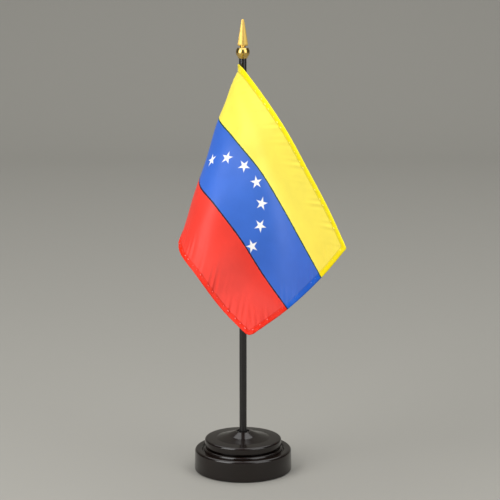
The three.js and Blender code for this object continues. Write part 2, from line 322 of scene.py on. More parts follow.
def turned(profile, segments=144, waver=None):
    """Vertices and faces of a closed profile turned about the staff's axis. waver, if given,
    changes the radius at (angles, height)."""
    angles = np.linspace(0, 2 * math.pi, segments, endpoint=False)
    vertices, rings = [], []
    for r, z in profile:
        start = len(vertices)
        if r < 1e-6:
            rings.append([start] * segments)
            vertices.append((0, 0, z))
            continue
        radii = np.full(segments, float(r)) + (waver(angles, z) if waver else 0)
        rings.append(list(range(start, start + segments)))
        vertices += zip(radii * np.cos(angles), radii * np.sin(angles), np.full(segments, float(z)))
    faces = []
    for low, high in zip(rings, rings[1:] + rings[:1]):
        for k in range(segments):
            n = (k + 1) % segments
            face = tuple(dict.fromkeys((low[k], low[n], high[n], high[k])))
            if len(face) > 2:
                faces.append(face)
    return vertices, faces


def skin(rings):
    """Vertices and faces of a skin over rings of equally many points, closed at both ends."""
    count = len(rings[0])
    vertices = np.concatenate(rings)
    faces = [tuple(range(count)), tuple(range(len(vertices) - count, len(vertices)))]
    for i in range(len(rings) - 1):
        for j in range(count):
            a, b = i * count + j, i * count + (j + 1) % count
            faces.append((a, b, b + count, a + count))
    return vertices, faces


def close_sheet(front, back, rows, columns):
    """Vertices and faces of a thin body between two grids of rows x columns points."""
    faces = []
    shift = rows * columns
    at = np.arange(shift).reshape(rows, columns)
    for i in range(rows - 1):
        for j in range(columns - 1):
            quad = (at[i, j], at[i, j + 1], at[i + 1, j + 1], at[i + 1, j])
            faces.append(tuple(int(k) for k in quad))
            faces.append(tuple(int(k) + shift for k in quad[::-1]))
    edge = [*at[0, :-1], *at[:-1, -1], *at[-1, :0:-1], *at[:0:-1, 0]]
    for a, b in zip(edge, edge[1:] + edge[:1]):
        faces.append((int(a), int(b), int(b) + shift, int(a) + shift))
    return np.concatenate((front, back)), faces


# ---------------------------------------------------------------- material helpers

MIX_FIRST, MIX_SECOND, MIX_COLOUR = 6, 7, 2  # a colour Mix node's sockets


def add_node(tree, kind, inputs=None, **settings):
    """A node with its settings, its input values and its links. A node given as an input links
    its first output."""
    node = tree.nodes.new(kind)
    for key, value in settings.items():
        setattr(node, key, value)
    for socket, value in (inputs or {}).items():
        if isinstance(value, bpy.types.Node):
            value = value.outputs[0]
        if isinstance(value, bpy.types.NodeSocket):
            tree.links.new(value, node.inputs[socket])
        else:
            node.inputs[socket].default_value = value
    return node


def new_surface(name, **sockets):
    """A material with its node tree and Principled shader. Underscores stand for spaces."""
    material = bpy.data.materials.new(name)
    material.use_nodes = True
    shader = material.node_tree.nodes["Principled BSDF"]
    for key, value in sockets.items():
        shader.inputs[key.replace("_", " ")].default_value = value
    return material, material.node_tree, shader


def plug(tree, shader, colour=None, roughness=None, height=None, depth=0.0):
    """Links a colour, a roughness and a relief of the given depth in mm to the shader."""
    if colour is not None:
        tree.links.new(colour, shader.inputs["Base Color"])
    if roughness is not None:
        tree.links.new(roughness.outputs[0], shader.inputs["Roughness"])
    if height is not None:
        relief = add_node(tree, "ShaderNodeBump", {"Height": height, "Distance": depth * MM})
        tree.links.new(relief.outputs[0], shader.inputs["Normal"])


def patterned(tree, shader, pattern, tones, roughness, spread=(0, 1), depth=0.0):
    """One pattern drives a surface's colour between two tones, its roughness between two values
    over the given spread of the pattern, and its relief in mm."""
    mix = add_node(
        tree,
        "ShaderNodeMix",
        {0: pattern, MIX_FIRST: tones[0], MIX_SECOND: tones[1]},
        data_type="RGBA",
    )
    dull = None
    if roughness:
        limits = {
            "From Min": spread[0],
            "From Max": spread[1],
            "To Min": roughness[0],
            "To Max": roughness[1],
        }
        dull = add_node(tree, "ShaderNodeMapRange", {"Value": pattern, **limits})
    plug(tree, shader, mix.outputs[MIX_COLOUR], dull, pattern, depth)


def shade(colour, factor):
    """A colour property made lighter or darker, as RGBA."""
    return [min(1, c * factor) for c in colour] + [1]


# ---------------------------------------------------------------- materials


def moulded_polystyrene():
    """High-gloss moulded polystyrene in dark brown: clear reflections that waver a little over the
    moulding's faint sink marks, softened where hands have rubbed it."""
    base = bpy.context.scene.stand_finish.base
    material, tree, shader = new_surface("moulded_polystyrene", IOR=1.5)
    place = add_node(tree, "ShaderNodeTexCoord").outputs["Object"]
    cloud = add_node(tree, "ShaderNodeTexNoise", {"Vector": place, "Scale": 1 / (14 * MM), "Detail": 3})
    sink = add_node(tree, "ShaderNodeTexNoise", {"Vector": place, "Scale": 1 / (5 * MM), "Detail": 0})
    # Dust is finer than shows at this size, so its specks are drawn 0.8 mm apart.
    dust = add_node(tree, "ShaderNodeTexNoise", {"Vector": place, "Scale": 1 / (0.8 * MM), "Detail": 4})
    mix = add_node(
        tree,
        "ShaderNodeMix",
        {0: cloud, MIX_FIRST: shade(base, 0.75), MIX_SECOND: shade(base, 1.5)},
        data_type="RGBA",
    )
    specks = add_node(
        tree,
        "ShaderNodeMapRange",
        {"Value": dust, "From Min": 0.62, "From Max": 0.72, "To Min": 0, "To Max": 0.06},
    )
    dusty = add_node(
        tree,
        "ShaderNodeMix",
        {0: specks, MIX_FIRST: mix.outputs[MIX_COLOUR], MIX_SECOND: linear("#8c8279")},
        data_type="RGBA",
    )
    rub = add_node(
        tree,
        "ShaderNodeMapRange",
        {"Value": cloud, "From Min": 0.3, "From Max": 0.7, "To Min": 0.1, "To Max": 0.2},
    )
    plug(tree, shader, dusty.outputs[MIX_COLOUR], rub, sink, 0.03)
    return material


def lacquered_dowel():
    """Black gloss lacquer over a turned hardwood dowel: long soft reflections down the staff, with
    the wood's grain just raised under the film."""
    staff = bpy.context.scene.stand_finish.staff
    material, tree, shader = new_surface("lacquered_dowel", IOR=1.5)
    place = add_node(tree, "ShaderNodeTexCoord").outputs["Object"]
    # Wood grain runs with the staff: fibres 0.5 mm across and 25 mm long.
    fibre = add_node(tree, "ShaderNodeMapping", {"Vector": place, "Scale": (1, 1, 0.02)})
    grain = add_node(tree, "ShaderNodeTexNoise", {"Vector": fibre, "Scale": 1 / (0.5 * MM), "Detail": 2})
    tones = shade(staff, 0.6), shade(staff, 1.9)
    patterned(tree, shader, grain, tones, (0.2, 0.34), (0.3, 0.7), 0.02)
    return material


def vacuum_metallised_gilt():
    """Plastic with a vacuum-metallised gilt film under clear lacquer: a warm mirror with faint
    ripples and a few duller patches."""
    gilt = bpy.context.scene.stand_finish.gilt
    material, tree, shader = new_surface("vacuum_metallised_gilt", Metallic=1.0, Coat_Weight=0.3)
    place = add_node(tree, "ShaderNodeTexCoord").outputs["Object"]
    patch = add_node(tree, "ShaderNodeTexNoise", {"Vector": place, "Scale": 1 / (2.2 * MM), "Detail": 3})
    tones = shade(gilt, 0.8), shade(gilt, 1.12)
    patterned(tree, shader, patch, tones, (0.14, 0.26), (0.35, 0.7), 0.02)
    return material


def satin_gilt():
    """The same gilt film over a finely grained moulding: broad soft highlights down each facet."""
    gilt = bpy.context.scene.stand_finish.gilt
    material, tree, shader = new_surface("satin_gilt", Metallic=1.0)
    place = add_node(tree, "ShaderNodeTexCoord").outputs["Object"]
    # The drawn marks run up the blade, 0.3 mm apart and 8 mm long.
    stroke = add_node(tree, "ShaderNodeMapping", {"Vector": place, "Scale": (1, 1, 0.04)})
    brush = add_node(tree, "ShaderNodeTexNoise", {"Vector": stroke, "Scale": 1 / (0.3 * MM), "Detail": 2})
    tones = shade(gilt, 0.7), shade(gilt, 1.05)
    patterned(tree, shader, brush, tones, (0.42, 0.55), (0.3, 0.7), 0.02)
    return material


STARS_LEFT, STARS_RIGHT = 3, 4  # stars on either side of the middle of the arc
# A program fitted the arc and the stripe edges below to the drape.
STAR_ARC_ALONG = 75.1  # middle of the arc of stars on the flat flag
STAR_ARC_DOWN = 75.6
STAR_ARC_R = 37.4
STAR_PITCH = math.radians(19.8)
STAR_R = 3.8
STAR_INNER_R = STAR_R * 0.382  # a regular five-pointed star's inner corners
PRINT_BLEED = 0.22  # softness of a printed edge, in millimetres


def star_mask(tree, along, down):
    """1 inside the printed stars, 0 outside: one star repeated round an arc. along and down are
    the node outputs that hold the place on the flat cloth in millimetres."""

    def calc(operation, *values):
        return add_node(tree, "ShaderNodeMath", dict(enumerate(values)), operation=operation)

    right = calc("SUBTRACT", along, STAR_ARC_ALONG)
    up = calc("SUBTRACT", STAR_ARC_DOWN, down)
    bearing = calc("ARCTAN2", right, up)
    reach = calc("SQRT", calc("ADD", calc("MULTIPLY", right, right), calc("MULTIPLY", up, up)))
    step = calc("ADD", calc("FLOOR", calc("DIVIDE", bearing, STAR_PITCH)), 0.5)
    off = calc("SUBTRACT", bearing, calc("MULTIPLY", step, STAR_PITCH))
    x = calc("MULTIPLY", reach, calc("SINE", off))
    y = calc("SUBTRACT", calc("MULTIPLY", reach, calc("COSINE", off)), STAR_ARC_R)
    # Five points: the angle about the star's middle is folded into half a point.
    turn = math.radians(72)
    angle = calc("ARCTAN2", x, y)
    folded = calc("ABSOLUTE", calc("WRAP", angle, turn / 2, -turn / 2))
    size = calc("SQRT", calc("ADD", calc("MULTIPLY", x, x), calc("MULTIPLY", y, y)))
    out = calc("SUBTRACT", calc("MULTIPLY", size, calc("COSINE", folded)), STAR_R)
    side = calc("MULTIPLY", size, calc("SINE", folded))
    normal = np.array(
        (
            STAR_INNER_R * math.sin(turn / 2),
            STAR_R - STAR_INNER_R * math.cos(turn / 2),
        )
    )
    normal /= np.linalg.norm(normal)
    gap = calc("ADD", calc("MULTIPLY", out, normal[0]), calc("MULTIPLY", side, normal[1]))
    star = add_node(
        tree,
        "ShaderNodeMapRange",
        {"Value": gap, "From Min": PRINT_BLEED, "From Max": -PRINT_BLEED},
    )
    after = calc("GREATER_THAN", bearing, -STAR_PITCH * STARS_LEFT)
    before = calc("LESS_THAN", bearing, STAR_PITCH * STARS_RIGHT)
    return calc("MULTIPLY", star, calc("MULTIPLY", after, before))


STRIPE_EDGES = (32.6, 66.0)  # where the printed stripes meet, down from the top hem
STRIPE_LINE = 0.42  # half width of the dark line where two inks overlap


def printed_satin_polyester(name="printed_satin_polyester", thread=False):
    """Dye-printed satin-weave polyester: bright flat inks with a dark line where two overlap, a
    soft sheen, and a fine weave. As sewing thread it is the same dye on a lustrous twist."""
    finish = bpy.context.scene.stand_finish
    material, tree, shader = new_surface(
        name,
        IOR=1.46,
        Roughness=0.5 if thread else 0.45,
        Sheen_Weight=0.08,
        Sheen_Roughness=0.3,
        Specular_IOR_Level=0.3,
    )
    flat = add_node(tree, "ShaderNodeUVMap", uv_map=PRINT_UV)
    size = add_node(
        tree,
        "ShaderNodeVectorMath",
        {0: flat, 1: (FLAG_LENGTH, FLAG_HEIGHT, 0)},
        operation="MULTIPLY",
    )
    split = add_node(tree, "ShaderNodeSeparateXYZ", {0: size})
    along, down = split.outputs[0], split.outputs[1]
    mottle = add_node(tree, "ShaderNodeTexNoise", {"Vector": size, "Scale": 1 / 9, "Detail": 4})
    low, high = (1.3, 1.6) if thread else (0.92, 1.08)
    inks = add_node(tree, "ShaderNodeMapRange", {"Value": mottle, "To Min": low, "To Max": high})

    # Each stripe edge wanders by a tenth of a millimetre, as the dye creeps along the threads.
    creep = add_node(tree, "ShaderNodeTexNoise", {"Vector": size, "Scale": 1 / 1.2, "Detail": 1})
    wander = add_node(
        tree, "ShaderNodeMath", {0: creep, 1: 0.5, 2: down}, operation="MULTIPLY_ADD"
    )
    colour = shade(finish.stripe_top, 1)
    for edge, ink, line in (
        (STRIPE_EDGES[0], finish.stripe_middle, linear("#1f4a2c")),
        (STRIPE_EDGES[1], finish.stripe_bottom, linear("#26202c")),
    ):
        middle = edge + 0.25
        past = add_node(
            tree,
            "ShaderNodeMapRange",
            {"Value": wander, "From Min": middle - PRINT_BLEED, "From Max": middle + PRINT_BLEED},
        )
        stripes = add_node(
            tree,
            "ShaderNodeMix",
            {0: past, MIX_FIRST: colour, MIX_SECOND: shade(ink, 1)},
            data_type="RGBA",
        )
        overlap = add_node(
            tree,
            "ShaderNodeMath",
            {0: wander, 1: middle, 2: STRIPE_LINE},
            operation="COMPARE",
        )
        lined = add_node(
            tree,
            "ShaderNodeMix",
            {0: overlap, MIX_FIRST: stripes.outputs[MIX_COLOUR], MIX_SECOND: line},
            data_type="RGBA",
        )
        colour = lined.outputs[MIX_COLOUR]
    starred = add_node(
        tree,
        "ShaderNodeMix",
        {0: star_mask(tree, along, down), MIX_FIRST: colour, MIX_SECOND: shade(finish.star, 1)},
        data_type="RGBA",
    )
    # A hem is three layers deep, so less light passes through it and its colour is fuller.
    # What shows of the hem is the folded edge on three sides, in from the cloth's outline.
    sides = [
        down,
        add_node(tree, "ShaderNodeMath", {0: FLAG_HEIGHT, 1: down}, operation="SUBTRACT"),
        add_node(tree, "ShaderNodeMath", {0: FLAG_LENGTH, 1: along}, operation="SUBTRACT"),
    ]
    rim = sides[0]
    for side in sides[1:]:
        rim = add_node(tree, "ShaderNodeMath", {0: rim, 1: side}, operation="MINIMUM")
    hem = bpy.context.scene.stand_sizes.hem_width / MM
    fuller = (0.7, 0.75) if thread else (0.98, 1.1)
    full = add_node(
        tree,
        "ShaderNodeMapRange",
        {
            "Value": rim,
            "From Min": hem + 0.2,
            "From Max": hem - 0.2,
            "To Min": fuller[0],
            "To Max": fuller[1],
        },
    )
    # Painted shade: the cloth is darkened in thin lines along the stitches and along the hem's inner edge,
    # where they press into it.
    mottle_and_painted_shade = inks
    inset = bpy.context.scene.stand_sizes.stitch_inset / MM
    for middle, reach, dark in ((inset, 0.3, 0.9), (hem + 0.15, 0.35, 0.82)):
        if thread:
            continue
        line = add_node(
            tree, "ShaderNodeMath", {0: rim, 1: middle, 2: reach}, operation="COMPARE"
        )
        # dip is the painted shade of one line: the cloth is darker within reach of the line.
        dip = add_node(tree, "ShaderNodeMapRange", {"Value": line, "To Min": 1, "To Max": dark})
        mottle_and_painted_shade = add_node(tree, "ShaderNodeMath", {0: mottle_and_painted_shade, 1: dip}, operation="MULTIPLY")
    # The printed colour, with the ink mottle and the painted shade lines in its value.
    print_with_painted_shade = add_node(
        tree,
        "ShaderNodeHueSaturation",
        {"Saturation": full, "Value": mottle_and_painted_shade, "Color": starred.outputs[MIX_COLOUR]},
    )
    # Satin's threads float 0.1 mm apart over 1 mm, too fine to show, so the floats are drawn
    # 0.5 mm wide and 4 mm long.
    floats = add_node(tree, "ShaderNodeMapping", {"Vector": size, "Scale": (0.25, 2, 1)})
    weave = add_node(tree, "ShaderNodeTexNoise", {"Vector": floats, "Scale": 1.0, "Detail": 3})
    plug(tree, shader, print_with_painted_shade.outputs[0], None, weave, 0.05)
    return material


def needled_felt():
    """Needled synthetic felt in near black: no shine, a soft halo of loose fibres."""
    material, tree, shader = new_surface(
        "needled_felt", Roughness=0.95, Sheen_Weight=0.6, Sheen_Roughness=0.6
    )
    place = add_node(tree, "ShaderNodeTexCoord").outputs["Object"]
    # Fibres are about 0.02 mm thick and are drawn in tufts of 0.6 mm so that they show.
    tuft = add_node(tree, "ShaderNodeTexNoise", {"Vector": place, "Scale": 1 / (0.6 * MM), "Detail": 6})
    tones = linear("#0e0e0e"), linear("#343230")
    patterned(tree, shader, tuft, tones, None, depth=0.4)
    return material


def grey_board():
    """Pressed grey paperboard: matt, with flecks of dark and pale fibre."""
    material, tree, shader = new_surface("grey_board", Roughness=0.85)
    place = add_node(tree, "ShaderNodeTexCoord").outputs["Object"]
    fleck = add_node(tree, "ShaderNodeTexNoise", {"Vector": place, "Scale": 1 / (0.9 * MM), "Detail": 5})
    tones = linear("#3b342e"), linear("#6d645a")
    patterned(tree, shader, fleck, tones, None, depth=0.1)
    return material


def zinc_plated_steel():
    """Punched steel washer with thin zinc plating: cool grey, with patches where crystals differ."""
    material, tree, shader = new_surface("zinc_plated_steel", Metallic=1.0)
    place = add_node(tree, "ShaderNodeTexCoord").outputs["Object"]
    spangle = add_node(tree, "ShaderNodeTexVoronoi", {"Vector": place, "Scale": 1 / (2.5 * MM)})
    tones = linear("#8f9396"), linear("#b4b6b6")
    patterned(tree, shader, spangle, tones, (0.3, 0.5), depth=0.02)
    return material


def soft_vinyl():
    """Soft black vinyl tube: a dull waxy shine with extrusion lines along it."""
    material, tree, shader = new_surface("soft_vinyl", IOR=1.53)
    place = add_node(tree, "ShaderNodeTexCoord").outputs["Object"]
    draw = add_node(tree, "ShaderNodeMapping", {"Vector": place, "Scale": (1, 1, 0.05)})
    line = add_node(tree, "ShaderNodeTexNoise", {"Vector": draw, "Scale": 1 / (0.4 * MM), "Detail": 2})
    tones = linear("#171514"), linear("#2e2a28")
    patterned(tree, shader, line, tones, (0.45, 0.6), depth=0.03)
    return material


def made(maker):
    """The maker's material, made only once."""
    return bpy.data.materials.get(maker.__name__) or maker()


# ---------------------------------------------------------------- base


class STAND_OT_base_drum(bpy.types.Operator):
    """Builds the lower drum of the base with its groove and rounded bead"""

    bl_idname = "stand.base_drum"
    bl_label = "Base Drum"

    def execute(self, context):
        low, high = frame_mm("base_drum")
        foot = frame_radius("base_drum")
        bead_r = 1.5
        bead_mid = 24.1
        flat_z = high[2] - 0.9
        shoulder = foot - 0.3
        cavity = foot - 3.0
        hole = 7.3
        ceiling = 11.5
        corners = [
            (cavity, low[2], 0.3),
            (foot, low[2], 0.5),
            (shoulder, flat_z, 1.5),
            (bead_mid + 3.0, flat_z, 0.3),
            (bead_mid + 2.0, flat_z - 1.1, 0.25),
            *arc(bead_mid, high[2] - bead_r, bead_r, -15, 90, 14),
            (hole, high[2], 0.3),
            (hole, ceiling, 0.2),
            (cavity, ceiling, 0.8),
        ]
        profile = filleted(corners)
        vertices, faces = turned(profile, segments=192)
        piece = add_piece("base_drum_moulding", vertices, faces, made(moulded_polystyrene), sharp=50)
        fit(piece, "base", "base_plastic", "base_drum")
        return {"FINISHED"}


class STAND_OT_top_disc(bpy.types.Operator):
    """Builds the upper disc with its shallow cone boss, socket and spigot"""

    bl_idname = "stand.top_disc"
    bl_label = "Top Disc"

    def execute(self, context):
        low, high = frame_mm("top_disc")
        rim = frame_radius("top_disc")
        neck = 22.8
        neck_z = 15.2
        foot_z = 16.2
        ring_z = 21.0
        boss_foot = 16.9
        boss_top = 4.9
        spigot = 7.0
        socket = 3.9
        socket_z = 5.2
        corners = [
            (0, low[2], 0),
            (spigot, low[2], 0.4),
            (spigot, neck_z, 0.3),
            (neck, neck_z, 0.2),
            (neck, foot_z, 0.2),
            (rim, foot_z, 0.4),
            (rim, ring_z - 0.2, 1.3),
            (boss_foot + 0.3, ring_z, 1.6),
            (10.6, ring_z + 1.95, 12),
            (boss_top, high[2], 0.7),
            (socket, high[2], 0.3),
            (socket, socket_z, 0.4),
            (0, socket_z, 0),
        ]
        vertices, faces = turned(filleted(corners), segments=192)
        piece = add_piece("top_disc_moulding", vertices, faces, made(moulded_polystyrene), sharp=50)
        fit(piece, "base", "base_plastic", "top_disc")
        return {"FINISHED"}


class STAND_OT_base_inside(bpy.types.Operator):
    """Builds what the base holds: the steel ballast ring and the board that closes it"""

    bl_idname = "stand.base_inside"
    bl_label = "Ballast and Cover"

    def execute(self, context):
        low, high = frame_mm("ballast_ring")
        outer, inner = frame_radius("ballast_ring"), 8.0
        ballast = filleted(
            [
                (inner, low[2], 0.5),
                (outer, low[2], 0.3),
                (outer, high[2], 0.9),
                (inner, high[2], 0.9),
            ]
        )
        piece = add_piece("ballast_washer", *turned(ballast), made(zinc_plated_steel), sharp=50)
        fit(piece, "base", "ballast_steel", "ballast_ring")
        low, high = frame_mm("base_cover")
        radius = frame_radius("base_cover")
        board = filleted(
            [
                (0, low[2], 0),
                (radius, low[2], 0.35),
                (radius, high[2], 0.35),
                (0, high[2], 0),
            ]
        )
        piece = add_piece("cover_disc", *turned(board), made(grey_board), sharp=50)
        fit(piece, "base", "cover_board", "base_cover")
        return {"FINISHED"}


class STAND_OT_felt_pad(bpy.types.Operator):
    """Builds the felt pad under the base, with its uneven cut edge"""

    bl_idname = "stand.felt_pad"
    bl_label = "Felt Pad"

    def execute(self, context):
        low, high = frame_mm("felt_pad")
        radius = frame_radius("felt_pad") - 0.25
        rng = np.random.default_rng(context.scene.stand_sizes.seed + 1)
        rough = rng.normal(0, 0.07, 240)

        def fray(angles, z):
            return rough[: len(angles)] * (1 + 0.5 * math.sin(9 * z))

        inner = [(r, low[2], 0) for r in np.linspace(2, radius - 1, 14)]
        outer = [(r, high[2], 0) for r in np.linspace(radius - 1, 2, 14)]
        edge = [(radius, low[2], 0.35), (radius + 0.1, (low[2] + high[2]) / 2, 0), (radius, high[2], 0.35)]
        profile = filleted([(0, low[2], 0), *inner, *edge, *outer, (0, high[2], 0)], steps=3)
        vertices, faces = turned(profile, segments=240, waver=fray)
        pad = add_piece("felt_disc", vertices, faces, made(needled_felt), sharp=80)
        fit(pad, "base", "pad_felt", "felt_pad")
        return {"FINISHED"}


# ---------------------------------------------------------------- staff and finial


class STAND_OT_staff_bush(bpy.types.Operator):
    """Builds the vinyl bush that grips the staff in the socket"""

    bl_idname = "stand.staff_bush"
    bl_label = "Staff Bush"

    def execute(self, context):
        low, high = frame_mm("staff_bush")
        outer, bore = frame_radius("staff_bush"), STAFF_R + GAP
        tube = filleted(
            [
                (bore, low[2], 0.2),
                (outer, low[2], 0.3),
                (outer, high[2], 0.35),
                (bore, high[2], 0.3),
            ]
        )
        vertices, faces = turned(tube, segments=64)
        piece = add_piece("bush_tube", vertices, faces, made(soft_vinyl), sharp=50)
        fit(piece, "bush", "bush_vinyl", "staff_bush")
        return {"FINISHED"}


class STAND_OT_staff(bpy.types.Operator):
    """Builds the lacquered staff with its eased ends"""

    bl_idname = "stand.staff"
    bl_label = "Staff"

    def execute(self, context):
        low, high = frame_mm("staff")
        radius = STAFF_R - 0.03
        shaft = [(radius, z, 0) for z in np.linspace(low[2] + 2, high[2] - 2, 90)]
        corners = [
            (0, low[2], 0),
            (radius, low[2], 0.5),
            *shaft,
            (radius, high[2], 0.4),
            (0, high[2], 0),
        ]

        def turning_marks(angles, z):
            return 0.018 * np.sin(2 * angles + z * 0.11) + 0.01 * math.sin(z * 0.37)

        vertices, faces = turned(filleted(corners), segments=64, waver=turning_marks)
        piece = add_piece("staff_dowel", vertices, faces, made(lacquered_dowel), sharp=50)
        fit(piece, "staff", "staff_lacquer", "staff")
        return {"FINISHED"}


# height, half width and half thickness of the spear's blade from its foot to its tip
BLADE = [
    (274.7, 2.9, 1.7),
    (275.5, 3.25, 1.8),
    (279.6, 2.6, 1.5),
    (285.5, 1.7, 1.05),
    (290.5, 0.85, 0.6),
    (291.3, 0.5, 0.4),
]


def blade_ring(z, half_width, half_thickness):
    """One level of the blade: a flattened diamond with ground edges and a rounded ridge."""
    edge = min(0.22, half_thickness / 2)
    corners = [
        (half_width, edge),
        (0.74 * half_width, edge + 0.45 * (half_thickness - edge)),
        (0.12 * half_width, half_thickness * 0.97),
        (0, half_thickness),
        (-0.12 * half_width, half_thickness * 0.97),
        (-0.74 * half_width, edge + 0.45 * (half_thickness - edge)),
        (-half_width, edge),
    ]
    front = [(-x, -y) for x, y in corners]
    return np.array([(x, y, z) for x, y in corners + front])


class STAND_OT_finial(bpy.types.Operator):
    """Builds the gilt ball and the spear blade that stands in it"""

    bl_idname = "stand.finial"
    bl_label = "Finial"

    def execute(self, context):
        low, high = frame_mm("finial_ball")
        ball_r = high[0]
        mid_z = 270.8
        foot_r = 2.95
        peg_hole_r, peg_hole_depth = 1.4, 2.2
        peg_r, neck_r, waist_r = 1.1, 2.1, 1.75
        tip_z = frame_mm("staff")[1][2]
        socket = STAFF_R + GAP
        below = -math.degrees(math.acos(foot_r / ball_r))
        above = math.degrees(math.asin((high[2] - mid_z) / ball_r))
        corners = [
            (0, tip_z + GAP, 0),
            (socket, tip_z + GAP, 0.2),
            (socket, low[2], 0.1),
            (foot_r, low[2], 0.12),
            *arc(0, mid_z, ball_r, below + 3, above, 40),
            (peg_hole_r, high[2], 0),
            (peg_hole_r, high[2] - peg_hole_depth, 0.2),
            (0, high[2] - peg_hole_depth, 0),
        ]
        vertices, faces = turned(filleted(corners), segments=96)
        ball = add_piece("finial_globe", vertices, faces, made(vacuum_metallised_gilt), sharp=50)
        fit(ball, "staff", "gilt_bright", "finial_ball")

        neck_z = high[2] + GAP
        low, high = frame_mm("finial_spear")
        levels = np.array(BLADE)
        levels[-1, 0] = high[2]
        heights = np.concatenate(
            [np.linspace(a, b, 9)[:-1] for a, b in zip(levels[:, 0], levels[1:, 0])] + [levels[-1:, 0]]
        )
        rings = [
            blade_ring(z, np.interp(z, levels[:, 0], levels[:, 1]), np.interp(z, levels[:, 0], levels[:, 2]))
            for z in heights
        ]
        blade = add_piece("finial_blade", *skin(rings), made(satin_gilt), sharp=22)
        fit(blade, "staff", "gilt_satin", "finial_spear")
        neck_top = levels[0, 0] + 0.4
        neck = filleted(
            [
                (0, low[2], 0),
                (peg_r, low[2], 0.2),
                (peg_r, neck_z, 0.1),
                (neck_r, neck_z, 0.2),
                (waist_r, neck_z + 0.5, 0.2),
                (neck_r, neck_top, 0.1),
                (0, neck_top, 0),
            ]
        )
        vertices, faces = turned(neck, segments=64)
        collar = add_piece("finial_neck", vertices, faces, made(vacuum_metallised_gilt), sharp=50)
        fit(collar, "staff", "gilt_bright")
        return {"FINISHED"}


# ---------------------------------------------------------------- flag


def refined(length, step, fine):
    """Places along an edge, a step apart, and closer near both ends."""
    ends = np.array([0, 0.08, 0.2, 0.4, 0.7, fine - 0.25, fine, fine + 0.25])
    count = int(length / step)
    inner = np.linspace(fine + 0.6, length - fine - 0.6, count)
    return np.unique(np.concatenate((ends, inner, length - ends)))


def round_corner(along, down):
    """Moves places near the two fly corners inward, so that the flag's corners are round."""
    for corner_down, towards, radius in ((0, -1, TOP_CORNER), (FLAG_HEIGHT, 1, FOOT_CORNER)):
        start_along, start_down = FLAG_LENGTH - radius, corner_down - towards * radius
        a = (along - start_along) / radius
        b = (down - start_down) / radius * towards
        inside = (a > 0) & (b > 0)
        pull = np.where(inside, np.maximum(a, b) / np.maximum(np.hypot(a, b), 1e-9), 1)
        along = np.where(inside, start_along + a * pull * radius, along)
        down = np.where(inside, start_down + towards * b * pull * radius, down)
    return along, down


class STAND_OT_flag_cloth(bpy.types.Operator):
    """Builds the printed cloth as it hangs, with its folded hems and gathers"""

    bl_idname = "stand.flag_cloth"
    bl_label = "Flag Cloth"

    def execute(self, context):
        sizes = context.scene.stand_sizes
        drape = Drape(sizes)
        hem = sizes.hem_width / MM
        us = refined(FLAG_LENGTH, 0.65, hem)
        vs = refined(FLAG_HEIGHT, 0.65, hem)
        along, down = (grid.ravel() for grid in np.meshgrid(us, vs, indexing="ij"))
        # The hems are folded on three sides, and the fold at each outer edge is round.
        rim = np.minimum(np.minimum(down, FLAG_HEIGHT - down), FLAG_LENGTH - along)
        folded = np.clip((hem + 0.25 - rim) / 0.5, 0, 1)
        thickness = sizes.cloth_thickness / MM + folded * (sizes.hem_thickness - sizes.cloth_thickness) / MM
        half = thickness / 2 * np.sqrt(np.clip(1 - (1 - rim / 0.4).clip(0, 1) ** 2, 0.02, 1))
        along, down = round_corner(along, down)
        front = drape.point(along, down, half)
        back = drape.point(along, down, -half)
        vertices, faces = close_sheet(front, back, len(us), len(vs))
        flat = np.column_stack((along, down))
        cloth = add_piece(
            "flag_cloth",
            vertices,
            faces,
            made(printed_satin_polyester),
            flat=np.concatenate((flat, flat)),
            sharp=100,
        )
        fit(cloth, "flag", "flag_cloth", "flag_panel")
        return {"FINISHED"}


SLEEVE_SLOPE = math.tan(math.radians(51))  # the cloth pulls the sleeve's top edge down on the right


